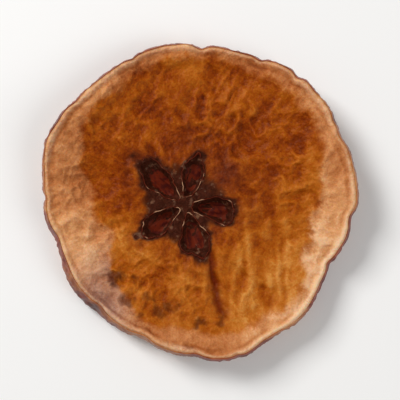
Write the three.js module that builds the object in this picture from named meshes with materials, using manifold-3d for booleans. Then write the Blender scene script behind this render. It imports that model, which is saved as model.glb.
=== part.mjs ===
// A dried apple ring: one whole, uncored cross-slice of a small apple, air-dried with its skin on.
// It lies flat as it would on a table, cut face up. Millimetres, +Z up, with the origin on the table under
// the middle of its box.
//
// The slice is worked out in three steps. A plain round blank is turned on a lathe, with more rings where
// the slice has more relief. Every point of the blank is then moved by shrivel(), which gives the outline
// with its blunt corners, the sunken flesh, the thick rim with the skin's two standing edges, the creases,
// and the curl that drying leaves. Last, the five hollows of the seed star are scooped out of both faces.
import * as THREE from "three";
import { mergeVertices } from "three/addons/utils/BufferGeometryUtils.js";
import Module from "manifold-3d";

// Sizes of the dried slice
const fleshThickness = 2.7; // over the sunken flesh between star and rim
const rimThickness = 4.0; // just inside the skin
const skinEdge = { stands: 0.38, width: 0.42, inset: 0.4 }; // the skin's cut edge, proud of the flesh
const sideBulge = 0.35; // the skin swells outwards between its two edges
const skinLean = { angle: 217, spread: 24, by: 1.3, power: 8 }; // a side that leans shows its skin from above
const paleBand = { narrow: 2.4, wide: 5.6 }; // the thick border inside the skin, widest at left and right

// The flesh rises to that border from a little inside its inner edge, and is thickest just inside the skin.
// Both are shares of the radius.
const bandRise = { inside: 0.06, full: 0.94 };

// The outline runs in arcs between blunt corners, each with its reach from the middle. Angles are in
// degrees, anticlockwise from +X. A sag of 1 makes the stretch from that corner to the next one straight,
// and more than 1 draws it in.
const outlineCorners = [
  { angle: -2, reach: 22.5, sag: 0.15 },
  { angle: 50, reach: 22.8, sag: 0.25 },
  { angle: 104, reach: 23.0, sag: 0.25 },
  { angle: 158, reach: 23.4, sag: 0.2 },
  { angle: 183, reach: 22.2, sag: 0.7 },
  { angle: 216, reach: 22.1, sag: 0.25 },
  { angle: 284, reach: 23.2, sag: 1.3 },
  { angle: 306, reach: 22.4, sag: 0.62 },
];

// The rim rests on three feet, lifts between them, and ripples a little
const feet = [
  { angle: 90, lift: 2.1 },
  { angle: 215, lift: 1.1 },
  { angle: 322, lift: 2.5 },
];
const liftPower = 2.3; // how steeply the curl sets in towards the rim
const middleRise = 0.3; // the middle stands a little above the plane of the rim
const ripplePower = 5; // the ripples belong to the rim and are soon gone inwards
const bucklePower = 4; // the buckles belong to the flesh and end at the rim
const ripples = [
  { waves: 7, height: 0.2, phase: 0.4 },
  { waves: 11, height: 0.14, phase: 2.1 },
];
const buckles = [
  { waves: 2, height: 0.3, phase: 0.7 },
  { waves: 5, height: 0.22, phase: -1.1 },
];

// The seed star: five hollows round the core, a little left of the slice's middle. Their inner ends and
// reaches are measured from the star's own middle.
const star = { x: -2.2, y: -0.9, inner: 0.9 };
const starHold = 0.3; // to this share of the radius the flesh is centred on the star, at 1 on the slice
const hollows = [
  { angle: 74, reach: 7.7, halfWidth: 2.1, depth: 0.75 },
  { angle: -7, reach: 7.4, halfWidth: 2.4, depth: 1.1 },
  { angle: -73, reach: 7.8, halfWidth: 2.5, depth: 0.9 },
  { angle: 214, reach: 7.6, halfWidth: 2.2, depth: 0.85 },
  { angle: 136, reach: 8.6, halfWidth: 2.4, depth: 1.0 },
];
const hollowTaper = 0.55; // how much narrower a hollow is at its inner end
const hub = { stands: 0.22, radius: 7.6, width: 3.0 }; // the flesh round the star shrinks less than the rest

// The one deep crease, from the star down to the rim, with the lengths over which its ends run out
const mainCrease = { x: 2.6, top: -7.6, bottom: -18.6, depth: 0.55, width: 0.75, topFade: 1, bottomFade: 2 };

// Smaller creases and tucks, drawn by rule from a seed
const seed = 4211;
const tuckCount = 30; // tucks in the rim, where the skin was too large for the flesh
const creaseCount = 26; // shallow creases in the flesh, running outwards
const creaseFade = 0.3; // the share of a crease's length over which each of its ends runs out
const undersideCreases = 0.6; // their depth on the underside, as a share

// How finely the blank and the hollows are divided
const slicesRound = 112;
const rings = { star: 7, flesh: 6, rim: 5, side: 3, underStar: 5, underFlesh: 5 };
const starShare = 0.36; // of the radius
const rimShare = 0.88;
const scoop = { round: 18, down: 10 };
const mergeDistance = 1e-4;

const degrees = Math.PI / 180;
const wholeTurn = 360;

function smooth(from, to, value) {
  const t = Math.min(1, Math.max(0, (value - from) / (to - from)));
  return t * t * (3 - 2 * t);
}

const bump = (distance, width) => Math.exp(-((distance / width) ** 2));

// Draws by a multiplying rule, which are the same wherever it is run
const drawFactor = 16807;
const drawModulus = 2147483647;

function makeDraw(start) {
  let state = start;
  return (low, high) => {
    state = (state * drawFactor) % drawModulus;
    return low + (high - low) * (state / drawModulus);
  };
}

// Which entry of a list with rising angles a direction follows, the next one, how far it is on the way there,
// and the angle between the two
function stretchOf(list, theta) {
  const turned = (((theta / degrees - list[0].angle) % wholeTurn) + wholeTurn) % wholeTurn;
  let i = list.length - 1;
  while (list[i].angle - list[0].angle > turned) i -= 1;
  const start = list[i].angle - list[0].angle;
  const end = i + 1 < list.length ? list[i + 1].angle - list[0].angle : wholeTurn;
  return {
    entry: list[i],
    next: list[(i + 1) % list.length],
    along: (turned - start) / (end - start),
    span: (end - start) * degrees,
  };
}

// The signed turn from one angle to another, the short way round
const turnBetween = (a, b) => Math.atan2(Math.sin(a - b), Math.cos(a - b));

const wavesAt = (list, theta) =>
  list.reduce((sum, w) => sum + w.height * Math.cos(w.waves * theta + w.phase), 0);

const draw = makeDraw(seed);

const tucks = Array.from({ length: tuckCount }, (_, i) => ({
  angle: ((i + draw(-0.8, 0.8)) / tuckCount) * wholeTurn * degrees,
  depth: draw(0.2, 0.66) ** 2, // mostly shallow, a few deep
  width: draw(1.6, 4.6) * degrees,
  reach: draw(0.8, 0.9), // the share of the radius where the tuck begins
}));

const creases = Array.from({ length: creaseCount }, (_, i) => ({
  angle: ((i + draw(-0.4, 0.4)) / creaseCount) * wholeTurn * degrees,
  depth: draw(0.08, 0.26),
  width: draw(0.6, 1.3), // mm
  from: draw(8.5, 11), // mm from the star's middle
  to: draw(14, 19),
  lean: draw(-0.25, 0.25), // radians that it turns on its way out
}));

// How far the rim is drawn in by its tucks, at a direction and a share of the radius
function tuckDepth(theta, share) {
  return tucks.reduce(
    (sum, t) => sum + t.depth * bump(turnBetween(theta, t.angle), t.width) * smooth(t.reach, 1, share),
    0,
  );
}

function outlineRadius(theta) {
  const { entry, next, along, span } = stretchOf(outlineCorners, theta);
  const reach = entry.reach + (next.reach - entry.reach) * smooth(0, 1, along);
  return reach * (1 - entry.sag * (1 - Math.cos(span / 2)) * Math.sin(Math.PI * along) ** 2);
}

function rimLift(theta) {
  const { entry, along } = stretchOf(feet, theta);
  return entry.lift * Math.sin(Math.PI * along) ** 2;
}

// The width of the thick pale border
const bandWidth = (theta) => paleBand.narrow + (paleBand.wide - paleBand.narrow) * Math.cos(theta) ** 2;

// How far the slice's middle surface stands above the table
function middleHeight(share, theta) {
  return (
    rimThickness / 2 +
    middleRise * (1 - share ** 2) +
    rimLift(theta) * share ** liftPower +
    wavesAt(ripples, theta) * share ** ripplePower +
    wavesAt(buckles, theta) * share * (1 - share ** bucklePower)
  );
}

// Half the thickness, without the creases
function halfThickness(share, theta) {
  const radius = outlineRadius(theta);
  const inner = 1 - bandWidth(theta) / radius;
  const rise = smooth(inner - bandRise.inside, bandRise.full, share);
  const thickening = ((rimThickness - fleshThickness) / 2) * rise;
  const edge = skinEdge.stands * bump((1 - share) * radius - skinEdge.inset, skinEdge.width);
  const swell = hub.stands * bump(share * radius - hub.radius, hub.width);
  return fleshThickness / 2 + thickening + edge + swell - tuckDepth(theta, share) / 2;
}

// The depth of the flesh's creases at a point of the plan
function creaseDepth(x, y) {
  const out = Math.hypot(x - star.x, y - star.y);
  const theta = Math.atan2(y - star.y, x - star.x);
  let sum = 0;
  for (const c of creases) {
    const t = (out - c.from) / (c.to - c.from);
    const aside = turnBetween(theta, c.angle + c.lean * t) * out;
    sum += c.depth * bump(aside, c.width) * smooth(0, creaseFade, t) * (1 - smooth(1 - creaseFade, 1, t));
  }
  const below = smooth(mainCrease.top + mainCrease.topFade, mainCrease.top - mainCrease.topFade, y);
  const above = 1 - smooth(mainCrease.bottom + mainCrease.bottomFade, mainCrease.bottom, y);
  return sum + mainCrease.depth * bump(x - mainCrease.x, mainCrease.width) * below * above;
}

// A point of the dried slice. share is how far out it is, from the middle of the star at 0 to the skin at 1,
// theta its direction, and level its height in the blank: 1 on the top face, -1 on the underside
function shrivel(share, theta, level) {
  const bulge = sideBulge * (1 - level ** 2) * share;
  const awayFromLean = turnBetween(theta, skinLean.angle * degrees) / degrees;
  const lean = (-level / 2) * skinLean.by * bump(awayFromLean, skinLean.spread) * share ** skinLean.power;
  const out = share * (outlineRadius(theta) - tuckDepth(theta, share)) + bulge + lean;
  const offCentre = 1 - smooth(starHold, 1, share);
  const x = star.x * offCentre + out * Math.cos(theta);
  const y = star.y * offCentre + out * Math.sin(theta);
  let half = halfThickness(share, theta);
  if (level === 1) half -= creaseDepth(x, y);
  if (level === -1) half -= creaseDepth(x, y) * undersideCreases;
  return new THREE.Vector3(x, y, Math.max(0, middleHeight(share, theta) + level * half));
}

// The blank's half section, from the middle of the underside round the side to the middle of the top face.
// x is the share of the radius and y the level.
function blankSection() {
  const points = [new THREE.Vector2(0, -1)];
  const run = (fromX, fromY, toX, toY, steps) => {
    for (let i = 1; i <= steps; i++) {
      const t = i / steps;
      points.push(new THREE.Vector2(fromX + (toX - fromX) * t, fromY + (toY - fromY) * t));
    }
  };
  run(0, -1, starShare, -1, rings.underStar);
  run(starShare, -1, rimShare, -1, rings.underFlesh);
  run(rimShare, -1, 1, -1, rings.rim);
  run(1, -1, 1, 1, rings.side + 1);
  run(1, 1, rimShare, 1, rings.rim);
  run(rimShare, 1, starShare, 1, rings.flesh);
  run(starShare, 1, 0, 1, rings.star);
  return points;
}

// The blank with every point moved
function shrivelledBlank() {
  const blank = new THREE.LatheGeometry(blankSection(), slicesRound);
  blank.rotateX(Math.PI / 2);
  const place = blank.getAttribute("position");
  for (let i = 0; i < place.count; i++) {
    const share = Math.min(1, Math.hypot(place.getX(i), place.getY(i)));
    const theta = Math.atan2(place.getY(i), place.getX(i));
    const moved = shrivel(share, theta, place.getZ(i));
    place.setXYZ(i, moved.x, moved.y, moved.z);
  }
  return blank;
}

// What is scooped out of one face for one hollow: an egg that narrows towards the core and follows the face
function scoopFor(hollow, level) {
  const egg = new THREE.SphereGeometry(1, scoop.round, scoop.down);
  egg.rotateY(Math.PI / scoop.round); // half a step, so that none of its corners lies in the face
  egg.rotateZ(Math.PI / 2);
  const place = egg.getAttribute("position");
  const middle = (star.inner + hollow.reach) / 2;
  const halfLength = (hollow.reach - star.inner) / 2;
  for (let i = 0; i < place.count; i++) {
    const along = middle + halfLength * place.getX(i);
    const across = hollow.halfWidth * place.getY(i) * (1 - (hollowTaper * (1 - place.getX(i))) / 2);
    const out = Math.hypot(along, across);
    const theta = hollow.angle * degrees + Math.atan2(across, along);
    const face = shrivel(out / outlineRadius(theta), theta, level);
    place.setXYZ(i, face.x, face.y, face.z + hollow.depth * place.getZ(i));
  }
  return egg;
}

const wasm = await Module();
wasm.setup();

function toSolid(geometry) {
  geometry.deleteAttribute("normal");
  geometry.deleteAttribute("uv");
  const merged = mergeVertices(geometry, mergeDistance);
  return new wasm.Manifold(
    new wasm.Mesh({
      numProp: 3,
      vertProperties: merged.attributes.position.array,
      triVerts: new Uint32Array(merged.index.array),
    }),
  );
}

function toGeometry(solid) {
  const mesh = solid.getMesh();
  const geometry = new THREE.BufferGeometry();
  geometry.setAttribute("position", new THREE.BufferAttribute(mesh.vertProperties, 3));
  geometry.setIndex(new THREE.BufferAttribute(mesh.triVerts, 1));
  geometry.computeVertexNormals();
  return geometry;
}

function driedSlice() {
  let slice = toSolid(shrivelledBlank());
  for (const hollow of hollows) {
    for (const level of [1, -1]) slice = slice.subtract(toSolid(scoopFor(hollow, level)));
  }
  const geometry = toGeometry(slice);
  geometry.computeBoundingBox();
  const { min, max } = geometry.boundingBox;
  geometry.translate(-(min.x + max.x) / 2, -(min.y + max.y) / 2, 0); // the origin under the middle of its box
  return geometry;
}

const driedFlesh = new THREE.MeshStandardMaterial({ color: 0xa85f22, roughness: 0.5, metalness: 0 });

const appleRing = new THREE.Group();
const slice = new THREE.Mesh(driedSlice(), driedFlesh);
slice.name = "apple_ring";
appleRing.add(slice);

export default appleRing;
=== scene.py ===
# A dried apple ring lying cut face up on a pale table: one whole, uncored cross-slice of a small apple,
# air-dried with its skin on. Lengths are in millimetres until they go into a mesh.
import math

import bmesh
import bpy
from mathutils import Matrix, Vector, noise


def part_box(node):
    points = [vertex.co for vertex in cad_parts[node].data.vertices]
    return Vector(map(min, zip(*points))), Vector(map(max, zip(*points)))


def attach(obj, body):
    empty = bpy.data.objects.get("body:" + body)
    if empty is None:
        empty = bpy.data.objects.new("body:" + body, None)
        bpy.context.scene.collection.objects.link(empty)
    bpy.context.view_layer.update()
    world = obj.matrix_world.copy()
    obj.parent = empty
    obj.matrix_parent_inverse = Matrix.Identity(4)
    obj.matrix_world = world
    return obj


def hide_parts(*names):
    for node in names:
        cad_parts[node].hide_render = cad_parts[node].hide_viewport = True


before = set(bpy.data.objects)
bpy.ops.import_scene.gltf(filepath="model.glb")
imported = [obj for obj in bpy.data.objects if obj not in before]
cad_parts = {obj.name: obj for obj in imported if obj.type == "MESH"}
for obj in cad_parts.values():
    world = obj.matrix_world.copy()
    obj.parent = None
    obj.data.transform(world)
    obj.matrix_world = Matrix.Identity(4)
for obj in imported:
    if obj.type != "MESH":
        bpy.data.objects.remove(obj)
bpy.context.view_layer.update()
ringNode = "apple_ring"
mm = 0.001
degree = math.pi / 180
print("frame loaded")


# The slice's form, the same as the frame's
form = {
    "fleshThickness": 2.7,  # over the sunken flesh between star and rim
    "rimThickness": 4,  # just inside the skin
    "edgeStands": 0.38,  # the skin's cut edge, proud of the flesh
    "edgeWidth": 0.42,
    "edgeInset": 0.4,
    "sideBulge": 0.35,
    "leanAt": (217, 24),  # angle and spread: here the side leans, so that the skin shows from above
    "leanBy": 1.3,
    "leanPower": 8,
    "bandNarrow": 2.4,  # the thick pale border, widest at left and right
    "bandWide": 5.6,
    "bandRise": (0.06, 0.94),  # shares of the radius: how far inside the border it starts, and its end
    # Blunt corners of the outline: angle, reach and how far the stretch after it sags
    "corners": [(-2, 22.5, 0.15), (50, 22.8, 0.25), (104, 23, 0.25), (158, 23.4, 0.2),
                (183, 22.2, 0.7), (216, 22.1, 0.25), (284, 23.2, 1.3), (306, 22.4, 0.62)],
    "feet": [(90, 2.1), (215, 1.1), (322, 2.5)],  # angle, and the rim's lift up to the next foot
    "liftPower": 2.3,
    "middleRise": 0.3,
    "ripples": [(7, 0.2, 0.4), (11, 0.14, 2.1)],  # waves round the rim, height, phase
    "ripplePower": 5,
    "buckles": [(2, 0.3, 0.7), (5, 0.22, -1.1)],  # the same for the flesh
    "bucklePower": 4,
    "hubStands": 0.22,  # the flesh round the star shrinks less
    "hubRadius": 7.6,
    "hubWidth": 3,
    "starHold": 0.3,  # to this share of the radius the flesh is centred on the star
    "seed": 4211,
    "tucks": 30,
    "tuckReach": (0.8, 0.9),  # the shares of the radius between which they begin
    "creases": 26,
    "creaseFade": 0.3,  # the share of a crease over which each end runs out
    "undersideCreases": 0.6,  # their depth there, as a share
    "slicesRound": 112,
    "sideLevels": (-1, -0.5, 0, 0.5, 1),  # the frame's points up its side
}

# The five hollows of the seed star: angle, reach, half width, depth, and how pointed the outer end is
star = {
    "x": -2.2,
    "y": -0.9,
    "inner": 0.9,
    "taper": 0.55,
    "narrowest": 0.25,  # the least share of its width that a hollow keeps
    "tipSpan": (0.1, 1.1),  # where a pointed end narrows, from -1 at the inner end to 1 at the outer
    "hollows": [(74, 7.7, 2.1, 0.75, 0.5), (-7, 7.4, 2.4, 1.1, 0), (-73, 7.8, 2.5, 0.9, 0.2),
                (214, 7.6, 2.2, 0.85, 0.25), (136, 8.6, 2.4, 1, 0.3)],
    "ragged": 0.32,  # how uneven the hollows' edges are, as a share of their size
    "raggedSize": 1.9,
    "raggedFine": (3, 0.35),  # how many times finer the small unevenness is, and its share
}

# The deep crease from the star down to the rim, and the lengths over which its ends run out
mainCrease = {
    "x": 2.4,
    "slant": 0.16,
    "waver": 0.5,
    "waverSize": 2.4,
    "top": -7.6,
    "topFade": 1,
    "bottom": -18.6,
    "bottomFade": 2,
    "depth": 0.55,
    "width": 0.75,
}

# Without a seed, noise_vector lays the wrinkles anew on each run
warpSeed = 5
noise.seed_set(warpSeed)

# Where in the noise each pattern is read, so that no two are alike. Relief and zones have a place for the top
# face and one for the underside, and the last four are read so much beyond the relief's
noisePlaces = {
    "waver": 5.5,
    "ragged": 2.7,
    "raggedFine": 8.1,
    "relief": (7.3, 31.9),
    "zones": (3.1, 17.7),
    "pleats": 2,
    "crinkles": 4,
    "dents": 9,
    "glassy": 20,
}


def smooth(start, end, value):
    t = min(1.0, max(0.0, (value - start) / (end - start)))
    return t * t * (3 - 2 * t)


def bump(distance, width):
    return math.exp(-((distance / width) ** 2))


def turnBetween(a, b):
    return math.atan2(math.sin(a - b), math.cos(a - b))


def fromStar(x, y):  # how far from the star's middle, and in which direction
    dx, dy = x - star["x"], y - star["y"]
    return math.hypot(dx, dy), math.atan2(dy, dx)


def nearAngle(place, theta):  # 1 at an angle, falling off over its spread
    angle, spread = place
    return bump(turnBetween(theta, angle * degree) / degree, spread)


def makeDraw(start):  # draws by a multiplying rule, the same ones as the frame's
    factor, modulus = 16807, 2147483647
    state = start

    def draw(low, high):
        nonlocal state
        state = (state * factor) % modulus
        return low + (high - low) * (state / modulus)

    return draw


def stretchOf(entries, theta):  # the entry a direction follows, the next one, how far along, the span
    first = entries[0][0]
    turned = (theta / degree - first) % 360
    i = len(entries) - 1
    while entries[i][0] - first > turned:
        i -= 1
    start = entries[i][0] - first
    end = entries[i + 1][0] - first if i + 1 < len(entries) else 360
    following = entries[(i + 1) % len(entries)]
    return entries[i], following, (turned - start) / (end - start), (end - start) * degree


def wavesAt(waves, theta):
    return sum(height * math.cos(count * theta + phase) for count, height, phase in waves)


def drawTucksAndCreases():
    draw = makeDraw(form["seed"])
    turn = 360 * degree
    tucks = []
    for i in range(form["tucks"]):
        angle = (i + draw(-0.8, 0.8)) / form["tucks"] * turn
        depth = draw(0.2, 0.66) ** 2  # mostly shallow, a few deep
        width = draw(1.6, 4.6) * degree
        reach = draw(*form["tuckReach"])
        tucks.append((angle, depth, width, reach))
    creases = []
    for i in range(form["creases"]):
        angle = (i + draw(-0.4, 0.4)) / form["creases"] * turn
        depth = draw(0.08, 0.26)
        width = draw(0.6, 1.3)
        near = draw(8.5, 11)  # from the star's middle
        far = draw(14, 19)
        lean = draw(-0.25, 0.25)  # how far it turns on its way out, in radians
        creases.append((angle, depth, width, near, far, lean))
    return tucks, creases


tucks, creases = drawTucksAndCreases()


def tuckDepth(theta, share):
    if share < form["tuckReach"][0]:
        return 0.0
    return sum(depth * bump(turnBetween(theta, angle), width) * smooth(reach, 1, share)
               for angle, depth, width, reach in tucks)


def outlineRadius(theta):
    entry, following, along, span = stretchOf(form["corners"], theta)
    reach = entry[1] + (following[1] - entry[1]) * smooth(0, 1, along)
    return reach * (1 - entry[2] * (1 - math.cos(span / 2)) * math.sin(math.pi * along) ** 2)


def rimLift(theta):
    entry, _, along, _ = stretchOf(form["feet"], theta)
    return entry[1] * math.sin(math.pi * along) ** 2


def bandWidth(theta):
    return form["bandNarrow"] + (form["bandWide"] - form["bandNarrow"]) * math.cos(theta) ** 2


def middleHeight(share, theta):
    return (form["rimThickness"] / 2
            + form["middleRise"] * (1 - share ** 2)
            + rimLift(theta) * share ** form["liftPower"]
            + wavesAt(form["ripples"], theta) * share ** form["ripplePower"]
            + wavesAt(form["buckles"], theta) * share * (1 - share ** form["bucklePower"]))


def halfThickness(share, theta):
    radius = outlineRadius(theta)
    inside, full = form["bandRise"]
    rise = smooth(1 - bandWidth(theta) / radius - inside, full, share)
    thickening = (form["rimThickness"] - form["fleshThickness"]) / 2 * rise
    edge = form["edgeStands"] * bump((1 - share) * radius - form["edgeInset"], form["edgeWidth"])
    swell = form["hubStands"] * bump(share * radius - form["hubRadius"], form["hubWidth"])
    return form["fleshThickness"] / 2 + thickening + edge + swell - tuckDepth(theta, share) / 2


def besideCrease(x, y):  # how far beside the crease's wavering middle
    middle = (mainCrease["top"] + mainCrease["bottom"]) / 2
    waver = mainCrease["waver"] * noise.noise(Vector((y / mainCrease["waverSize"], noisePlaces["waver"], 0)))
    return x - mainCrease["x"] - mainCrease["slant"] * (middle - y) - waver


def mainCreaseAt(x, y):
    top, bottom = mainCrease["top"], mainCrease["bottom"]
    below = smooth(top + mainCrease["topFade"], top - mainCrease["topFade"], y)
    above = 1 - smooth(bottom + mainCrease["bottomFade"], bottom, y)
    return bump(besideCrease(x, y), mainCrease["width"]) * below * above


def creaseDepth(x, y):
    out, theta = fromStar(x, y)
    fade = form["creaseFade"]
    total = mainCrease["depth"] * mainCreaseAt(x, y)
    for angle, depth, width, near, far, lean in creases:
        t = (out - near) / (far - near)
        if 0 < t < 1:
            aside = turnBetween(theta, angle + lean * t) * out
            total += depth * bump(aside, width) * smooth(0, fade, t) * (1 - smooth(1 - fade, 1, t))
    return total


def shrivel(share, theta, level):  # a point of the dried slice, before its hollows are scooped
    bulge = form["sideBulge"] * (1 - level ** 2) * share
    lean = -level / 2 * form["leanBy"] * nearAngle(form["leanAt"], theta) * share ** form["leanPower"]
    out = share * (outlineRadius(theta) - tuckDepth(theta, share)) + bulge + lean
    offCentre = 1 - smooth(form["starHold"], 1, share)
    x = star["x"] * offCentre + out * math.cos(theta)
    y = star["y"] * offCentre + out * math.sin(theta)
    half = halfThickness(share, theta)
    if level == 1:
        half -= creaseDepth(x, y)
    if level == -1:
        half -= creaseDepth(x, y) * form["undersideCreases"]
    return Vector((x, y, max(0, middleHeight(share, theta) + level * half)))


def frameShift():  # the frame puts the origin under the middle of the slice's box
    turn = 2 * math.pi / form["slicesRound"]
    rim = [shrivel(1, i * turn, level) for i in range(form["slicesRound"]) for level in form["sideLevels"]]
    middle = [(min(p[axis] for p in rim) + max(p[axis] for p in rim)) / 2 for axis in (0, 1)]
    return -Vector((*middle, 0))


shift = frameShift()


def hollowSpan(hollow):  # how far its middle is from the star's, and half its length
    reach = hollow[1]
    return (star["inner"] + reach) / 2, (reach - star["inner"]) / 2


def hollowWidth(hollow, u):  # half the width at u, from -1 at its inner end to 1 at its outer end
    _, _, halfWidth, _, tip = hollow
    tapered = max(star["narrowest"], 1 - star["taper"] * (1 - u) / 2)
    return halfWidth * tapered * (1 - tip * smooth(*star["tipSpan"], u))


def hollowSizeAt(x, y, hollow):  # 0 along its middle, 1 on its edge, more outside it
    turn = hollow[0] * degree
    middle, halfLength = hollowSpan(hollow)
    dx, dy = x - star["x"], y - star["y"]
    along = dx * math.cos(turn) + dy * math.sin(turn)
    across = -dx * math.sin(turn) + dy * math.cos(turn)
    u = (along - middle) / halfLength
    return math.hypot(u, across / hollowWidth(hollow, u)) * raggedAt(x, y)


def noiseAt(x, y, z, size):
    return noise.noise(Vector((x / size, y / size, z)))


def raggedAt(x, y):  # dried hollows have uneven edges
    size = star["raggedSize"]
    finer, share = star["raggedFine"]
    coarse = noiseAt(x, y, noisePlaces["ragged"], size)
    fine = noise.noise(Vector((x / size * finer, y / size * finer, noisePlaces["raggedFine"])))
    return 1 + star["ragged"] * (coarse + share * fine)


# Helpers for building by hand
def deselectAll():
    bpy.ops.object.select_all(action="DESELECT")


def pick(pieces):  # selects these alone and makes the first one active
    deselectAll()
    for piece in pieces:
        piece.select_set(True)
    bpy.context.view_layer.objects.active = pieces[0]


def pickAll():
    bpy.ops.mesh.select_all(action="SELECT")


def pickEdges(piece, wanted):
    bpy.ops.mesh.select_mode(type="EDGE")
    bpy.ops.mesh.select_all(action="DESELECT")
    cage = bmesh.from_edit_mesh(piece.data)
    for edge in cage.edges:
        edge.select_set(wanted(edge))
    bmesh.update_edit_mesh(piece.data)


hair = 1e-6  # heights nearer than this are the same


def isUpright(edge):
    return abs(edge.verts[0].co.z - edge.verts[1].co.z) > hair


def isOnTop(edge):
    return all(vertex.co.z > -hair for vertex in edge.verts)


def addModifier(piece, kind, **settings):
    pick([piece])
    modifier = piece.modifiers.new(kind.title(), kind)
    for name, value in settings.items():
        setattr(modifier, name, value)
    bpy.ops.object.modifier_apply(modifier=modifier.name)


def writeAttribute(piece, name, values):
    attribute = piece.data.attributes.new(name, "FLOAT", "POINT")
    attribute.data.foreach_set("value", values)


def finishPiece(piece, material, look, smoothAngle=60):
    pick([piece])
    bpy.ops.object.shade_smooth_by_angle(angle=smoothAngle * degree)
    piece.data.materials.append(makeMaterial(material, look))
    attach(piece, "root")
    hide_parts(ringNode)
    print("made", piece.name, len(piece.data.vertices), "vertices")


# Materials
def colour(code):  # an sRGB hex value, turned linear
    parts = [int(code[i:i + 2], 16) / 255 for i in (0, 2, 4)]
    return tuple(c / 12.92 if c <= 0.04045 else ((c + 0.055) / 1.055) ** 2.4 for c in parts) + (1.0,)


def each(size):  # the scale of a pattern that repeats every so many millimetres
    return 1 / (size * mm)


def addNode(tree, kind, settings):  # another node's output is linked, and a hex value becomes a colour
    node = tree.nodes.new("ShaderNode" + kind)
    for name, value in settings.items():
        if isinstance(value, bpy.types.NodeSocket):
            tree.links.new(value, node.inputs[name])
        elif name == "stops":
            while len(node.color_ramp.elements) < len(value):
                node.color_ramp.elements.new(0.5)
            for stop, (place, code) in zip(node.color_ramp.elements, value):
                stop.position = place
                stop.color = colour(code)
        elif isinstance(name, str) and hasattr(node, name):
            setattr(node, name, value)
        elif isinstance(value, str):
            node.inputs[name].default_value = colour(value)
        else:
            node.inputs[name].default_value = value
    return node


# A look names what it is mixed from. Zones are attributes of the mesh. Patterns have a space, a size in mm,
# detail, roughness and distortion, and cells a size in mm. A mix is a source, and the patterns or zones that
# swing it with how far. A span gives what it follows, from and to where, and what that becomes. A ramp turns
# a source into colours
def laySources(tree, look):
    sources = {}
    for name in look.get("zones", []):
        zone = addNode(tree, "Attribute", {"attribute_name": name})
        sources[name] = zone.outputs["Fac"]
    for name, (space, size, detail, roughness, distortion) in look.get("patterns", {}).items():
        if space == "object":
            place = addNode(tree, "TexCoord", {}).outputs["Object"]
        else:
            place = addNode(tree, "Attribute", {"attribute_name": space}).outputs["Vector"]
        pattern = addNode(tree, "TexNoise", {
            "Vector": place, "Scale": each(size), "Detail": detail, "Roughness": roughness,
            "Distortion": distortion})
        sources[name] = pattern.outputs["Fac"]
    for name, size in look.get("cells", {}).items():
        place = addNode(tree, "TexCoord", {}).outputs["Object"]
        cells = addNode(tree, "TexVoronoi", {"Vector": place, "Scale": each(size)})
        sources[name] = cells.outputs["Distance"]
    for name, (source, swings) in look.get("mixes", {}).items():
        mix = addNode(tree, "Math", {
            "operation": "SUBTRACT", 0: sources[source], 1: sum(swings.values()) / 2})
        for pattern, swing in swings.items():
            mix = addNode(tree, "Math", {
                "operation": "MULTIPLY_ADD", 0: sources[pattern], 1: swing, 2: mix.outputs["Value"]})
        sources[name] = mix.outputs["Value"]
    for name, (source, low, high, toLow, toHigh) in look.get("spans", {}).items():
        span = addNode(tree, "MapRange", {
            "interpolation_type": "SMOOTHSTEP", "Value": sources[source], "From Min": low, "From Max": high,
            "To Min": toLow, "To Max": toHigh})
        sources[name] = span.outputs["Result"]
    for name, (source, stops) in look.get("ramps", {}).items():
        ramp = addNode(tree, "ValToRGB", {"Fac": sources[source], "stops": stops})
        sources[name] = ramp.outputs["Color"]
    return sources


# Layers lie over the base colour, each where all its sources are. A bump has a source, a strength and a
# height in mm
def makeMaterial(name, look):
    material = bpy.data.materials.new(name)
    material.use_nodes = True
    tree = material.node_tree
    tree.nodes.clear()
    sources = laySources(tree, look)
    settings = {socket: sources.get(value, value) for socket, value in look["shader"].items()}
    for places, over in look.get("layers", []):
        where = sources[places[0]]
        for place in places[1:]:
            overlap = addNode(tree, "Math", {"operation": "MULTIPLY", 0: where, 1: sources[place]})
            where = overlap.outputs["Value"]
        layer = addNode(tree, "MixRGB", {
            "Fac": where, "Color1": settings["Base Color"], "Color2": sources.get(over, over)})
        settings["Base Color"] = layer.outputs["Color"]
    for source, strength, height in look.get("bumps", []):
        under = {"Normal": settings["Normal"]} if "Normal" in settings else {}
        relief = addNode(tree, "Bump", {
            "Height": sources[source], "Strength": strength, "Distance": height * mm, **under})
        settings["Normal"] = relief.outputs["Normal"]
    shader = addNode(tree, "BsdfPrincipled", settings)
    addNode(tree, "OutputMaterial", {"Surface": shader.outputs["BSDF"]})
    return material


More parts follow.
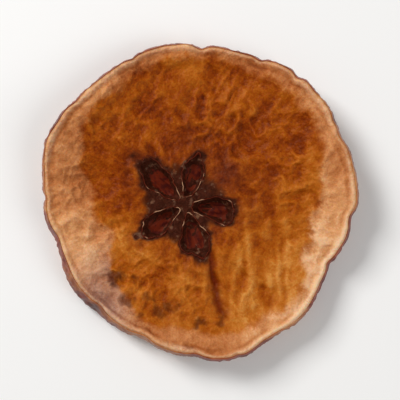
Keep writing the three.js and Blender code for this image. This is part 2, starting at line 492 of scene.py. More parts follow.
# Air-dried apple flesh: sugars browned and set by slow heat, a satin leather that light enters a little way
flesh = {
    "look": {
        "zones": ["tone", "borderTone", "pale", "pink", "blush", "edge", "fold", "spot", "core"],
        "patterns": {
            "mottle": ("object", 2.6, 6, 0.6, 0.6),
            "blotch": ("object", 0.9, 4, 0.65, 1.2),
            "speckle": ("object", 0.9, 2, 0.6, 0),
            "grain": ("object", 0.22, 3, 0.6, 0),
            "fibre": ("outwards", 0.9, 2.5, 0.5, 0.4),  # runs out from the star
        },
        "cells": {"pebbles": 0.42},
        "mixes": {
            "insideTone": ("tone", {"mottle": 0.65, "blotch": 0.5, "fibre": 0.18, "grain": 0.3}),
            "borderTones": ("borderTone", {"mottle": 0.4, "blotch": 0.45, "fibre": 0.25, "grain": 0.35}),
            "worn": ("pale", {"mottle": 0.3, "blotch": 0.4}),
            "dull": ("pale", {"mottle": -0.9, "core": 1}),  # the spongy border and the core are duller
        },
        "spans": {
            "border": ("worn", 0.1, 0.9, 0, 1),
            "edgeWear": ("blotch", 0.3, 0.6, 0.35, 1.1),
            "stains": ("blotch", 0.35, 0.65, 0, 1),
            "flecks": ("speckle", 0.55, 0.72, 0, 0.32),
            "pebbleTops": ("pebbles", 0, 0.9, 1, 0),
            "sheen": ("dull", -0.7, 0.7, 0.42, 0.74),
        },
        # From the darkest folds to the palest fibres. The tones carry painted shade in the folds and painted
        # light on the ridges
        "ramps": {
            "inside": ("insideTone", [
                (0, "431202"), (0.16, "651f03"), (0.31, "803103"), (0.43, "954205"),
                (0.54, "a5510a"), (0.67, "b36015"), (0.82, "c27224"), (1, "d28c40")]),
            "reddened": ("insideTone", [
                (0, "34100a"), (0.3, "5c200c"), (0.55, "782e0e"), (0.8, "a04c18"), (1, "bc7030")]),
            "peach": ("borderTones", [
                (0, "763616"), (0.3, "a85e2e"), (0.55, "c7804c"), (0.8, "e0a06a"), (1, "f0be90")]),
            "rosy": ("borderTones", [(0, "643a2e"), (0.5, "9e6c57"), (1, "d4ac94")]),
        },
        "layers": [
            (["blush"], "reddened"),
            (["border"], "peach"),
            # greyer pink at the lower left: partly its own colour, partly painted shade of the curled rim
            (["border", "pink"], "rosy"),
            # the pale cut edge, with its painted highlight
            (["edge", "edgeWear"], "f4cba4"),
            # painted shade along the deep crease
            (["fold"], "6c1f05"),
            (["spot"], "501a06"),
            (["core"], "331006"),
            (["core", "stains"], "471d11"),
            (["core", "flecks"], "a87c5e"),
        ],
        "bumps": [("grain", 0.5, 0.08), ("pebbleTops", 0.45, 0.12), ("fibre", 0.3, 0.12)],
        "shader": {
            "Base Color": "inside",
            "Roughness": "sheen",
            "IOR": 1.45,
            "Specular IOR Level": 0.12,
            "Specular Tint": "ffe0c2",
            "Subsurface Weight": 0.35,
            "Subsurface Radius": (1, 0.42, 0.16),
            "Subsurface Scale": 1.3 * mm,
        },
    },
    "cells": 132,  # across the slice; the top face is divided once more
    "sideCells": 10,
    "rimCrowding": 0.4,  # draws the rings together towards the rim
    "hollowDepth": 1.3,  # deeper than the frame's, as a share of it
    "hollowWall": (0.55, 1.08),  # where it runs up, from 0 at a hollow's middle to 1 at its edge
    "hollowsWithin": 0.5,  # of the radius
    # Relief in mm. Ridges have a sharpness and sink a little, so that they lie evenly about the face
    "wrinkles": {"size": 2.6, "height": 0.34, "sharpness": 2, "sink": 0.55},
    "crinkles": {"size": 1.1, "height": 0.16, "sharpness": 1.8, "sink": 0.5},
    "dents": {"size": 5.5, "height": 0.4},
    # Puckers are so many waves round the slice, drawn outwards, and set in between two distances
    "pucker": {"waves": 7, "stretch": 5, "height": 0.2, "sharpness": 2.2, "sink": 0.5, "setIn": (10, 16),
               "sway": 0.05, "swell": 0.12},
    "warp": (6, 1.4),  # sways the ridges: its size and how far
    "glassy": {"size": 7, "edge": 0.35, "least": 0.6, "more": 0.5},  # patches that stay smoother
    "beyondStar": (5.5, 9.5),  # from the star's middle, where the relief sets in
    "starCrinkles": 0.5,  # the share of the crinkles that the star has
    # Where the relief calms down: from and to which share of the radius, and how much
    "borderCalm": (0.74, 0.86, 0.4),
    "rimCalm": (0.92, 0.97, 0.35),
    "edgeCalm": (0.98, 1, 0.8),
    "fullRidge": 0.25,  # the relief that colours as a whole ridge, for the painted light and shade
    "ridgeLightAndShade": 0.16,  # painted light on ridges and painted shade in the hollows: how much lighter a whole ridge is
    # The noise that the zones' edges wander with, from coarse to finest: size and how far
    "wander": [(3, 0.9), (1.1, 0.4), (0.5, 0.2)],
    # The pale border: angle and width
    "border": [(-42, 1.3), (-28, 3.6), (-6, 5), (9, 4.2), (20, 2.6), (90, 1.6), (145, 2.6), (160, 5.8),
               (174, 8), (190, 7.6), (203, 9.6), (214, 8), (226, 4.6), (245, 2.3), (272, 3.5), (302, 2.4)],
    # How pale it is, and how pink. The pink stretch is partly painted shade
    "paleness": [(-16, 0.92), (10, 0.64), (60, 0.5), (150, 0.54), (176, 0.6), (205, 0.74), (240, 0.48),
                 (275, 0.5), (305, 0.86)],
    "borderSoftness": 1.5,
    "fringes": [(9, 3, 0.5), (22, 2, 0.2)],  # along its inner edge: waves round, stretch, how far
    "borderDeepens": {"span": (0.35, 1), "by": 0.14},  # towards the flesh
    # A thin painted shadow line inside the cut edge: its inset, wander, width, least, unevenness, and how
    # much darker
    "shadowLine": {"inset": 1.1, "wander": 0.3, "width": 0.26, "least": 0.4, "uneven": 1.2, "darker": 0.3},
    "pinkAndShadeAt": (226, 15),  # angle and spread of the greyer pink where the rim curls out: pink, with painted shade in it
    "pink": (0.95, 0.5),  # strength, and how uneven
    # The pale, dried cut edge, with a painted highlight that makes it brightest towards the lower right. Its
    # inset, width and strength each waver with waves round the slice
    "cutEdge": {"waves": 4, "inset": (0.4, 0.25), "width": (0.32, 0.2), "least": 0.4, "more": 0.75,
                "waver": 0.7, "uneven": 0.4},
    "edgeHighlightAt": (-42, 34),  # where the painted highlight makes it strongest
    "tone": 0.54,  # of the flesh inside the border, before its patches
    # Softly darker and lighter patches: x, y, half width, half height, how much lighter
    # the first, broad one darkens the top of the slice: a painted shadow
    "patches": [(-5, 13, 15, 8, -0.15), (10, -11, 11, 9, 0.17), (9.2, 1.4, 2.2, 3, -0.1),
                (12.4, 4.4, 2, 3, 0.12), (-11.4, -1, 3, 1.8, -0.22), (-10.6, 7.2, 4, 3.2, -0.2),
                (-12, -6.2, 3.2, 3, 0.36), (-8.8, -10.2, 2.6, 3, 0.2), (-4.5, -17.4, 3.2, 1.4, 0.18),
                (3.5, -6.4, 1.8, 2.2, -0.22), (12.6, -7, 2.2, 3, 0.12), (9.4, -15.6, 3.4, 2, 0.1),
                (5.6, -12.8, 1.1, 3.6, 0.16), (15.6, -0.8, 1.6, 2.4, 0.18), (16, 6.4, 2, 2.4, -0.12),
                (-11.6, 2.4, 2, 1.8, -0.14), (-14.8, 3.2, 1.8, 2.4, 0.14), (7.2, -9.2, 1.8, 2.2, -0.12),
                (6.2, -4, 1.8, 2, -0.15), (6.6, -16.6, 2.6, 1.6, 0.15), (3.8, 2.8, 2.4, 2.2, -0.14)],
    # Upright pleats in the golden part. Their colour is painted light on the crests and painted shade in the
    # troughs, by as much as lighter gives
    "pleats": {"x": 9, "y": -10, "reach": 8, "width": 0.85, "length": 4, "height": 0.15, "lighter": 0.15,
               "swaySize": 4, "sway": 0.8},
    # The core's dark tissue, in hollow sizes round the hollows and in mm round the star's middle
    "coreRound": (1.1, 1.38),
    "coreMiddle": (4.5, 6.2),
    "coreWander": (0.12, 1.5),  # of each
    "starReach": 12,  # farther out, no hollow matters
    "farFromStar": 3,  # hollow sizes
    "blush": {"strength": 0.75, "round": (1.25, 2), "least": 0.7, "uneven": 0.6},  # redder round the star
    # Where else it turned redder: x, y, size, strength
    "flushes": [(-5, -8.2, 2.2, 0.2), (3.8, 3.4, 3, 1), (9.6, 2.2, 1.8, 0.2), (-9.6, 1.8, 1.6, 0.3),
                (-4.2, -16, 2.2, 0.25), (-1, 8.4, 4, 0.3)],
    # Bruised spots: x, y, size, strength
    "spots": [(-11.8, -11.2, 1.1, 0.9), (-9.9, -11.2, 0.7, 0.8), (-10.4, -14.9, 0.7, 0.7),
              (-7.4, -14.2, 0.6, 0.6), (-6, -16.2, 0.8, 0.7), (-4.6, -15.6, 0.8, 0.7),
              (-8.8, -16.9, 0.5, 0.5), (0.3, -17.6, 0.8, 0.8), (2.9, -17.9, 0.5, 0.6)],
    "flushWander": 1.5,
    "spotWander": (0.9, 1.1, 0.5),  # coarse, fine and finest
    "spotFlatness": 1.3,
    "spotFade": (0.3, 2),  # in its sizes
    # The painted shade in the deep crease starts a little above the crease and widens on its way down
    "fold": {"above": 1.6, "longer": 1, "strength": 0.92, "width": 0.46, "widening": 0.45, "wander": 0.25,
             "setIn": 0.2, "fade": 0.85},
    # Vascular bundles in a ring round the star, by turns outside and inside it
    "bundles": {"count": 10, "first": 38, "ring": 9.8, "outside": 0.7, "inside": 0.6, "flatness": 0.6,
                "size": 0.35, "darker": 0.1},
    "fibreSpace": (18, 4),  # the circle that fibres are spread on, and how much longer they are than wide
}


def fractalAt(x, y, z, size):  # noise in layers, each finer and fainter than the last
    fainter, finer, layers = 0.9, 2.0, 2
    return noise.fractal(Vector((x / size, y / size, z)), fainter, finer, layers)


def roundNoise(theta, waves, z):  # so many waves round the slice
    return noise.noise(Vector((math.cos(theta) * waves, math.sin(theta) * waves, z)))


def radialNoise(theta, out, waves, stretch, z):  # the same, drawn outwards from the star
    return roundNoise(theta, waves, out / stretch + z)


def onFace(name, level):  # the noise place of the top face or of the underside
    top, underside = noisePlaces[name]
    return top if level > 0 else underside


def crest(value, sharpness=2.0):  # a noise value folded into ridges, 1 on the crest
    return 1 - min(1, abs(value) * sharpness)


def ridged(value, ridges):  # the same as relief in mm
    return (crest(value, ridges["sharpness"]) - ridges["sink"]) * ridges["height"]


def calmed(share, calm):
    start, end, by = calm
    return 1 - by * smooth(start, end, share)


def pleatAt(x, y, z):  # from -1 to 1 across the pleats
    pleats = flesh["pleats"]
    sway = noiseAt(x, y, z, pleats["swaySize"]) * pleats["sway"]
    mask = bump(math.hypot(x - pleats["x"], y - pleats["y"]), pleats["reach"])
    place = Vector((x / pleats["width"] + sway, y / pleats["length"], z + noisePlaces["pleats"]))
    return 2 * noise.noise(place) * mask


def puckerAt(out, theta, z, warp):
    pucker = flesh["pucker"]
    waves = radialNoise(theta + pucker["sway"] * warp.x, out, pucker["waves"], pucker["stretch"], z)
    return ridged(waves + pucker["swell"] * warp.y, pucker) * smooth(*pucker["setIn"], out)


def fleshRelief(x, y, share, level):
    out, theta = fromStar(x, y)
    z = onFace("relief", level)
    warpSize, warpBy = flesh["warp"]
    warp = noise.noise_vector(Vector((x / warpSize, y / warpSize, z))) * warpBy
    wx, wy = x + warp.x, y + warp.y
    wrinkles, crinkles, dents, glassy = [flesh[name] for name in ("wrinkles", "crinkles", "dents", "glassy")]
    coarse = ridged(fractalAt(wx, wy, z, wrinkles["size"]), wrinkles)
    fine = ridged(fractalAt(wx, wy, z + noisePlaces["crinkles"], crinkles["size"]), crinkles)
    dented = fractalAt(x, y, z + noisePlaces["dents"], dents["size"]) * dents["height"]
    pleated = flesh["pleats"]["height"] * pleatAt(x, y, z)

    dull = smooth(-glassy["edge"], glassy["edge"], noiseAt(x, y, z + noisePlaces["glassy"], glassy["size"]))
    rough = (coarse + puckerAt(out, theta, z, warp) + fine) * (glassy["least"] + glassy["more"] * dull)
    beyondStar = smooth(*flesh["beyondStar"], out)
    relief = (rough * calmed(share, flesh["borderCalm"]) + pleated + dented) * beyondStar
    relief += fine * flesh["starCrinkles"] * (1 - beyondStar)
    return relief * calmed(share, flesh["rimCalm"]) * calmed(share, flesh["edgeCalm"])


def stretched(entries, theta):  # a value that runs smoothly from one angle's entry to the next
    entry, following, along, _ = stretchOf(entries, theta)
    return entry[1] + (following[1] - entry[1]) * smooth(0, 1, along)


def bundleAt(x, y):
    bundles = flesh["bundles"]
    out, theta = fromStar(x, y)
    bearing = theta / degree - bundles["first"]
    spacing = 360 / bundles["count"]
    index = round(bearing / spacing)
    away = (bearing - index * spacing) * degree * out
    ring = bundles["ring"] + (bundles["outside"] if index % 2 else -bundles["inside"])
    return bump(math.hypot((out - ring) * bundles["flatness"], away), bundles["size"])


def borderZones(out, theta, fromEdge, z, ridge, uneven, wander):
    coarse, fine, _ = uneven
    shadowLine, deepens, cutEdge = flesh["shadowLine"], flesh["borderDeepens"], flesh["cutEdge"]
    fringe = sum(radialNoise(theta, out, waves, stretch, z) * by for waves, stretch, by in flesh["fringes"])
    width = stretched(flesh["border"], theta)
    softness = flesh["borderSoftness"]
    pale = 1 - smooth(width - softness, width + softness, fromEdge + wander + fringe)

    paleness = stretched(flesh["paleness"], theta)
    # the thin painted shadow line inside the cut edge
    paintedShadowLine = bump(fromEdge - shadowLine["inset"] + shadowLine["wander"] * fine, shadowLine["width"])
    paintedShadowLine *= max(0, shadowLine["least"] + shadowLine["uneven"] * coarse)
    deep = smooth(*deepens["span"], fromEdge / width)
    tone = paleness - shadowLine["darker"] * paintedShadowLine - deepens["by"] * deep * (1 - paleness)
    strength, unevenness = flesh["pink"]
    pink = nearAngle(flesh["pinkAndShadeAt"], theta) * (strength + unevenness * coarse)

    waver = roundNoise(theta, cutEdge["waves"], z)
    inset, insetWaver = cutEdge["inset"]
    edgeWidth, widthWaver = cutEdge["width"]
    edge = bump(fromEdge - inset - insetWaver * waver, edgeWidth + widthWaver * waver)
    # stronger towards the lower right: a painted highlight
    edge *= ((cutEdge["least"] + cutEdge["more"] * nearAngle(flesh["edgeHighlightAt"], theta))
             * (1 + cutEdge["waver"] * waver + cutEdge["uneven"] * fine))
    # the border's tone carries painted light on the ridges and painted shade in the hollows
    return {"pale": pale, "borderTone": tone + flesh["ridgeLightAndShade"] * ridge, "pink": pink, "edge": edge}


def toneAt(x, y, level, ridge, coarse, fine):  # how light the flesh inside the border is
    # painted light on the pleats' crests and painted shade in their troughs
    tone = flesh["tone"] + flesh["pleats"]["lighter"] * pleatAt(x, y, onFace("relief", level))
    # the ridge term is painted light on the ridges and painted shade in the hollows between them
    tone = tone - flesh["bundles"]["darker"] * bundleAt(x, y) + flesh["ridgeLightAndShade"] * ridge
    for patchX, patchY, wide, high, lighter in flesh["patches"]:
        tone += lighter * bump(math.hypot((x - patchX + coarse) / wide, (y - patchY + fine) / high), 1)
    return tone


def starZones(x, y, out, coarse, fine, wander):
    nearest = flesh["farFromStar"]
    if out < flesh["starReach"]:
        nearest = min(hollowSizeAt(x, y, hollow) for hollow in star["hollows"])
    roundWander, middleWander = flesh["coreWander"]
    nearest += wander * roundWander
    core = max(1 - smooth(*flesh["coreRound"], nearest),
               1 - smooth(*flesh["coreMiddle"], out + wander * middleWander))
    around = flesh["blush"]
    blush = around["strength"] * (1 - smooth(*around["round"], nearest))
    blush *= around["least"] + around["uneven"] * coarse
    for flushX, flushY, size, strength in flesh["flushes"]:
        away = math.hypot(x - flushX + flesh["flushWander"] * coarse, y - flushY + fine)
        blush = max(blush, strength * bump(away, size))
    return {"core": core, "blush": blush}


def creaseShadeAt(x, y, fine):  # painted shade in the deep crease
    fold = flesh["fold"]
    length = mainCrease["top"] + fold["longer"] - mainCrease["bottom"]
    down = (mainCrease["top"] + fold["above"] - y) / length
    width = fold["width"] + fold["widening"] * max(0, down)
    shade = fold["strength"] * bump(besideCrease(x, y) + fine * fold["wander"], width)
    return shade * (smooth(0, fold["setIn"], down) * (1 - smooth(fold["fade"], 1, down)))


def spotAt(x, y, uneven):
    ragged = sum(value * by for value, by in zip(uneven, flesh["spotWander"]))
    start, end = flesh["spotFade"]
    spot = 0.0
    for spotX, spotY, size, strength in flesh["spots"]:
        away = math.hypot(x - spotX, (y - spotY) * flesh["spotFlatness"]) + ragged
        spot = max(spot, strength * (1 - smooth(size * start, size * end, away)))
    return spot


def fleshZones(x, y, share, theta, level, ridge):
    out, _ = fromStar(x, y)
    fromEdge = (1 - share) * outlineRadius(theta)
    z = onFace("zones", level)
    uneven = [noiseAt(x, y, z, size) for size, _ in flesh["wander"]]
    wander = sum(value * by for value, (_, by) in zip(uneven, flesh["wander"]))
    coarse, fine, _ = uneven
    zones = borderZones(out, theta, fromEdge, z, ridge, uneven, wander)
    zones.update(starZones(x, y, out, coarse, fine, wander))
    zones["tone"] = toneAt(x, y, level, ridge, coarse, fine)
    zones["fold"] = creaseShadeAt(x, y, fine)
    zones["spot"] = spotAt(x, y, uneven) if level > 0 else 0
    return {name: max(0, min(1, value)) for name, value in zones.items()}


def outwardsSpace(x, y):  # a space whose third axis runs out from the star, for fibres
    out, theta = fromStar(x, y)
    circle, stretch = flesh["fibreSpace"]
    return circle * mm * math.cos(theta), circle * mm * math.sin(theta), out * mm / stretch


def addFleshBlank():  # a square slab whose top face is finely divided
    deselectAll()
    bpy.ops.mesh.primitive_grid_add(x_subdivisions=flesh["cells"], y_subdivisions=flesh["cells"], size=2,
                                    enter_editmode=True)
    piece = bpy.context.object
    piece.name = "dried_flesh"
    pickAll()
    bpy.ops.mesh.extrude_region_move(TRANSFORM_OT_translate={"value": (0, 0, -2)})
    pickEdges(piece, isUpright)
    bpy.ops.mesh.subdivide(number_cuts=flesh["sideCells"] - 1)
    pickEdges(piece, isOnTop)
    bpy.ops.mesh.subdivide(number_cuts=1)
    pickAll()
    bpy.ops.mesh.normals_make_consistent(inside=False)
    bpy.ops.object.mode_set(mode="OBJECT")
    return piece


def seatOf(place):  # share, direction and level in the round slice of a point of the square slab
    x, y, level = place.x, place.y, round(place.z + 1, 6)
    ring = max(abs(x), abs(y))
    theta = 0.0
    if ring > 0 and abs(x) >= abs(y):
        theta = math.pi / 4 * (y / x) + (0 if x > 0 else math.pi)
    elif ring > 0:
        theta = math.pi / 2 - math.pi / 4 * (x / y) + (0 if y > 0 else math.pi)
    return min(1, ring * (1 + flesh["rimCrowding"] * ring * (1 - ring))), theta, level


def scoopHollows(point, level):
    for hollow in star["hollows"]:
        depth = hollow[3] * flesh["hollowDepth"]
        size = hollowSizeAt(point.x, point.y, hollow)
        point.z -= level * depth * (1 - smooth(*flesh["hollowWall"], size))


def buildFlesh():
    piece = addFleshBlank()
    vertices = piece.data.vertices
    seats = [seatOf(vertex.co) for vertex in vertices]
    for vertex, (share, theta, level) in zip(vertices, seats):
        point = shrivel(share, theta, level)
        if abs(level) == 1 and share < flesh["hollowsWithin"]:
            scoopHollows(point, level)
        vertex.co = point
    piece.data.update()

    normals = [vertex.normal.copy() for vertex in vertices]
    zones, outwards = {}, []
    for vertex, normal, (share, theta, level) in zip(vertices, normals, seats):
        point = vertex.co.copy()
        relief = fleshRelief(point.x, point.y, share, level) if abs(level) == 1 else 0.0
        # ridge is the relief from -1 to 1, which paints light on ridges and shade in hollows
        ridge = max(-1, min(1, relief / flesh["fullRidge"]))
        outwards.extend(outwardsSpace(point.x, point.y))
        for name, value in fleshZones(point.x, point.y, share, theta, level, ridge).items():
            zones.setdefault(name, []).append(value)
        moved = point + normal * relief
        moved.z = max(0, moved.z)
        vertex.co = (moved + shift) * mm
    for name, values in zones.items():
        writeAttribute(piece, name, values)
    piece.data.attributes.new("outwards", "FLOAT_VECTOR", "POINT").data.foreach_set("vector", outwards)
    finishPiece(piece, "air_dried_apple_flesh", flesh["look"])


# Dried apple skin: thin, waxy and finely wrinkled, deep red but golden by its cut edges, with pale pores
skin = {
    "around": 720,
    "levels": 16,
    "clear": 0.08,  # mm outside the flesh
    "thickness": 0.16,
    "lift": 0.16,  # how far the cut edge stands up
    "cutEdge": (0.86, 1),  # levels, from 0 at half height to 1 at the cut faces
    "ragged": {"waves": 9, "upright": 3, "by": 0.6},  # the cut edge, in waves round the slice
    # Wrinkles in mm, swayed and drawn out upright, with fine ones between them. They end at the cut faces
    "wrinkle": 0.26,
    "wrinkleSize": 1.4,
    "wrinkleEnd": 4,
    "sway": (0.6, 0.8),  # how many times coarser it is, and how far
    "upright": 0.5,
    "finer": 2.6,
    "fineSink": 0.5,
    "folds": {"share": 0.9, "sink": 0.1, "fine": 0.3},
    "bloom": {"strength": 0.25, "span": (0.3, 1.1)},  # wax, palest on the folds
    # Golden where it had no sun: broad patches and fine stripes, in waves round the slice and up its side
    "unblushed": (2, 0.3),
    "stripes": (20, 0.8),
    "goldMix": {"stripes": 0.35, "level": 0.3, "span": (0.1, 0.5), "strength": 0.75, "edge": 0.25},
    "look": {
        "zones": ["gold", "bloom"],
        "patterns": {
            "patches": ("object", 4.5, 5, 0.6, 0.8),
            "mottle": ("object", 1.1, 5, 0.65, 0.6),
            "specks": ("object", 0.4, 2, 0.6, 0),
        },
        "cells": {"pores": 1.7},
        "mixes": {"uneven": ("patches", {"mottle": 0.7})},
        "spans": {"openPores": ("pores", 0.06, 0.12, 0.55, 0)},
        "ramps": {
            "reds": ("uneven", [(0.3, "4c140c"), (0.5, "711f12"), (0.7, "94331d")]),
            "golds": ("uneven", [(0.3, "8e4c22"), (0.5, "b06a30"), (0.7, "c4864a")]),
        },
        "layers": [
            (["gold"], "golds"),
            (["bloom"], "a8624a"),
            (["openPores"], "c48c5c"),
        ],
        "bumps": [("specks", 0.25, 0.05)],
        "shader": {
            "Base Color": "reds",
            "Roughness": 0.38,
            "IOR": 1.46,
            "Specular IOR Level": 0.3,
            "Specular Tint": "ffe6cf",
            "Subsurface Weight": 0.1,
            "Subsurface Radius": (1, 0.3, 0.15),
            "Subsurface Scale": 0.5 * mm,
        },
    },
}


def addSkinBand():
    deselectAll()
    bpy.ops.mesh.primitive_cylinder_add(vertices=skin["around"], radius=1, depth=2, end_fill_type="NOTHING",
                                        enter_editmode=True)
    piece = bpy.context.object
    piece.name = "dried_skin"
    pickEdges(piece, isUpright)
    bpy.ops.mesh.subdivide(number_cuts=skin["levels"] - 1)
    bpy.ops.object.mode_set(mode="OBJECT")
    return piece


def skinFolds(point):  # the wrinkles, and the fine ones between them
    coarser, far = skin["sway"]
    spot = point / skin["wrinkleSize"]
    spot += noise.noise_vector(spot * coarser) * far
    folds = crest(noise.noise(Vector((spot.x, spot.y, spot.z * skin["upright"]))))
    fine = crest(noise.noise(spot * skin["finer"])) - skin["fineSink"]
    return folds, fine


def skinGold(theta, level, edge):
    mix = skin["goldMix"]
    waves, upright = skin["unblushed"]
    unblushed = roundNoise(theta, waves, upright * level)
    waves, upright = skin["stripes"]
    stripe = roundNoise(theta, waves, upright * level)
    shade = unblushed + mix["stripes"] * stripe + mix["level"] * abs(level)
    return mix["strength"] * smooth(*mix["span"], shade) + mix["edge"] * edge


def buildSkin():
    piece = addSkinBand()
    mix, wax, ragged = skin["folds"], skin["bloom"], skin["ragged"]
    nearlyCut = 0.999  # short of a cut face's level, shrivel leaves out the flesh's creases
    bloom, gold = [], []
    for vertex in piece.data.vertices:
        theta = math.atan2(vertex.co.y, vertex.co.x)
        level = vertex.co.z
        outwards = Vector((math.cos(theta), math.sin(theta), 0))
        point = shrivel(1, theta, max(-nearlyCut, min(nearlyCut, level)))
        folds, fine = skinFolds(point)
        raised = max(0, folds * mix["share"] - mix["sink"] + mix["fine"] * fine)
        point += outwards * (skin["clear"] + skin["wrinkle"] * raised * (1 - level ** skin["wrinkleEnd"]))
        edge = smooth(*skin["cutEdge"], abs(level))
        if level > 0:
            uneven = roundNoise(theta, ragged["waves"], level * ragged["upright"])
            point.z += edge * skin["lift"] * (ragged["by"] + ragged["by"] * uneven)
        point.z = max(0.0, point.z)
        vertex.co = (point + shift) * mm
        bloom.append(wax["strength"] * smooth(*wax["span"], folds + mix["fine"] * fine))
        gold.append(skinGold(theta, level, edge))
    writeAttribute(piece, "bloom", bloom)
    writeAttribute(piece, "gold", gold)
    addModifier(piece, "SOLIDIFY", thickness=skin["thickness"] * mm, offset=-1, thickness_clamp=1)
    finishPiece(piece, "dried_apple_skin", skin["look"])


# Core parchment, grown thin and horny round the seeds: dark like the flesh behind it, pale at its cut edge
parchment = {
    "segments": 64,
    "rings": 32,
    "thickness": 0.07,
    "depth": 1.2,  # as a share of the hollow's
    "cupShape": (5, 0.6),  # powers that give it steep walls and a flat floor
    "stands": 0.16,  # how far the cut edge stands out of the flesh
    "edge": 0.9,  # where that starts, from 0 at the middle to 1 at the edge
    "standsMix": (0.6, 0.8),  # the least, and the share of the fine unevenness
    "crumple": {"height": 0.22, "long": 3.4, "wide": 0.8, "sharpness": 1.8, "sink": 0.5},
    "tears": (1.5, 0.6),  # sizes in mm of the broken and of the fine unevenness
    # Crumples, tears and unevenness are read elsewhere for each lining: steps by hollow and by face
    "elsewhere": [(3, 1), (9, 3), (5, 1)],
    "nearCore": (-0.3, 0.8),  # the lining shows most there, from -1 at the inner end to 1 at the outer
    "torn": {"span": (-0.2, 0.55), "nearCore": 0.3, "fine": 0.4, "less": 0.12},
    "lip": {"start": 0.87, "wander": 0.16, "end": 0.98, "least": 0.2, "torn": 0.75},
    # the crumples' crests, lightened as a painted highlight
    "creases": {"strength": 0.5, "span": (0.1, 0.5), "least": 0.7},
    "look": {
        "zones": ["lip"],
        "patterns": {"film": ("object", 0.8, 4, 0.5, 0)},
        "spans": {
            "stains": ("film", 0.4, 0.62, 0, 1),
            # upper walls and crests lighter than the floor: painted light on them, with the floor left in
            # painted shade
            "wall": ("lip", 0, 0.6, 0, 1),
            "cutEdge": ("lip", 0.55, 0.95, 0, 1),
        },
        "layers": [
            (["stains"], "400f0c"),
            (["wall"], "6c2615"),
            (["cutEdge"], "c39270"),
        ],
        "bumps": [("film", 0.4, 0.1)],
        "shader": {
            "Base Color": "5e1c0b",
            "Roughness": 0.45,
            "IOR": 1.5,
            "Specular IOR Level": 0.08,
            "Specular Tint": "ffdcc2",
        },
    },
}


def addHalfBall():
    deselectAll()
    bpy.ops.mesh.primitive_uv_sphere_add(segments=parchment["segments"], ring_count=parchment["rings"],
                                         radius=1, enter_editmode=True)
    pickAll()
    bpy.ops.mesh.bisect(plane_co=(0, 0, 0), plane_no=(0, 0, 1), clear_outer=True, threshold=0.01)
    bpy.ops.object.mode_set(mode="OBJECT")
    return bpy.context.object


def liningPlace(hollow, u, v):  # where a ball's point comes, along and across from the star's middle
    turn = hollow[0] * degree
    middle, halfLength = hollowSpan(hollow)
    along = middle + halfLength * u
    across = hollowWidth(hollow, u) * v
    x = star["x"] + along * math.cos(turn) - across * math.sin(turn)
    y = star["y"] + along * math.sin(turn) + across * math.cos(turn)
    inwards = 1 / raggedAt(x, y)
    return middle + halfLength * u * inwards, across * inwards


def lipAndCrestLightAt(u, ringShare, crumple, broken, uneven):  # 1 where the lining is cut, at its pale cut edge, and on its crumples' crests, where it is a painted highlight
    torn, lip, creases = parchment["torn"], parchment["lip"], parchment["creases"]
    inner = 1 - smooth(*parchment["nearCore"], u)
    tears = smooth(*torn["span"], broken + torn["nearCore"] * inner + torn["fine"] * uneven - torn["less"])
    edge = smooth(lip["start"] + lip["wander"] * uneven, lip["end"], ringShare)
    # a painted highlight on the crumples' crests
    crestHighlight = creases["strength"] * smooth(*creases["span"], crumple) * (creases["least"] + broken)
    return max(edge * (lip["least"] + lip["torn"] * tears), crestHighlight)


def shapeLining(cup, index, hollow, level):  # lays a half ball in a hollow of one face
    crumples = parchment["crumple"]
    wallPower, floorPower = parchment["cupShape"]
    tornSize, fineSize = parchment["tears"]
    least, fineShare = parchment["standsMix"]
    places = [index * byHollow + level * byFace for byHollow, byFace in parchment["elsewhere"]]
    lips = []
    for vertex in cup.data.vertices:
        u, v, _ = vertex.co
        ringShare = min(1, math.hypot(u, v))
        along, across = liningPlace(hollow, u, v)
        out = math.hypot(along, across)
        theta = hollow[0] * degree + math.atan2(across, along)
        face = shrivel(out / outlineRadius(theta), theta, level)

        spot = Vector((along / crumples["long"], across / crumples["wide"], places[0]))
        crumple = crest(noise.noise(spot), crumples["sharpness"]) - crumples["sink"]
        broken = noiseAt(along, across, places[1], tornSize)
        uneven = noiseAt(along, across, places[2], fineSize)

        depth = hollow[3] * parchment["depth"] + crumple * crumples["height"]
        sunk = (1 - ringShare ** wallPower) ** floorPower * depth
        proud = parchment["stands"] * smooth(parchment["edge"], 1, ringShare)
        face.z -= level * (sunk - proud * max(0, least + broken + uneven * fineShare))
        vertex.co = (face + shift) * mm
        lips.append(lipAndCrestLightAt(u, ringShare, crumple, broken, uneven))
    writeAttribute(cup, "lip", lips)


def flipFaces():
    bpy.ops.object.mode_set(mode="EDIT")
    pickAll()
    bpy.ops.mesh.flip_normals()
    bpy.ops.object.mode_set(mode="OBJECT")


def buildParchment():
    cups = []
    for level in (1, -1):
        for index, hollow in enumerate(star["hollows"]):
            cup = addHalfBall()
            shapeLining(cup, index, hollow, level)
            if level == -1:
                flipFaces()
            addModifier(cup, "SOLIDIFY", thickness=parchment["thickness"] * mm, offset=1)
            cups.append(cup)
    pick(cups)
    bpy.ops.object.join()
    piece = bpy.context.object
    piece.name = "core_parchment"
    finishPiece(piece, "core_parchment", parchment["look"])


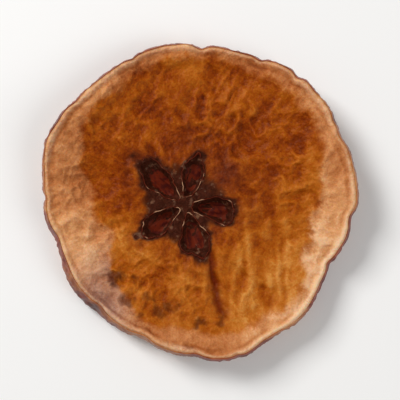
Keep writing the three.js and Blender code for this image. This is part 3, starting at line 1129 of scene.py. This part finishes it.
# The table, lights and camera
studio = {
    "floorSize": 3000,  # mm
    "floor": {"shader": {"Base Color": "fbfaf8", "Roughness": 0.8}},  # a matt white laminate
    "fill": 0.78,  # share of the frame the slice takes
    "elevation": 86,
    "lens": 85,
    "sensor": 36,
    "nearest": 10,  # mm, the nearest the camera sees
    "world": "ffffff",
    "worldStrength": 0.24,
    # Soft boxes: place and size in mm, watts
    "lights": [((-300, 250, 330), 200, 2.1), ((330, -140, 330), 320, 0.8)],
}


def buildTable():
    deselectAll()
    bpy.ops.mesh.primitive_plane_add(size=studio["floorSize"] * mm, location=(0, 0, 0))
    floor = bpy.context.object
    floor.name = "table"
    floor.data.materials.append(makeMaterial("matt_laminate", studio["floor"]))


def faceAway(thing, direction):  # lights and cameras look down their own Z, so that points away
    thing.rotation_mode = "QUATERNION"
    thing.rotation_quaternion = direction.to_track_quat("Z", "Y")


def buildLights():
    world = bpy.data.worlds.new("studio")
    bpy.context.scene.world = world
    world.use_nodes = True
    inputs = world.node_tree.nodes["Background"].inputs
    inputs["Color"].default_value = colour(studio["world"])
    inputs["Strength"].default_value = studio["worldStrength"]
    for place, size, power in studio["lights"]:
        bpy.ops.object.light_add(type="AREA", location=[c * mm for c in place])
        light = bpy.context.object
        light.data.size = size * mm
        light.data.energy = power
        faceAway(light, Vector(place))


def buildCamera():
    low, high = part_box(ringNode)
    centre = (low + high) / 2
    across = (high.x - low.x) / studio["fill"]
    distance = across * studio["lens"] / studio["sensor"]
    tilt = studio["elevation"] * degree
    back = Vector((0, -math.cos(tilt), math.sin(tilt)))
    bpy.ops.object.camera_add(location=centre + back * distance)
    camera = bpy.context.object
    camera.data.lens = studio["lens"]
    camera.data.sensor_width = studio["sensor"]
    camera.data.clip_start = studio["nearest"] * mm
    faceAway(camera, back)
    bpy.context.scene.camera = camera


def buildStudio():
    buildTable()
    buildLights()
    buildCamera()
    bpy.context.scene.view_settings.view_transform = "Standard"
    print("studio set")


buildStudio()
buildFlesh()
buildSkin()
buildParchment()
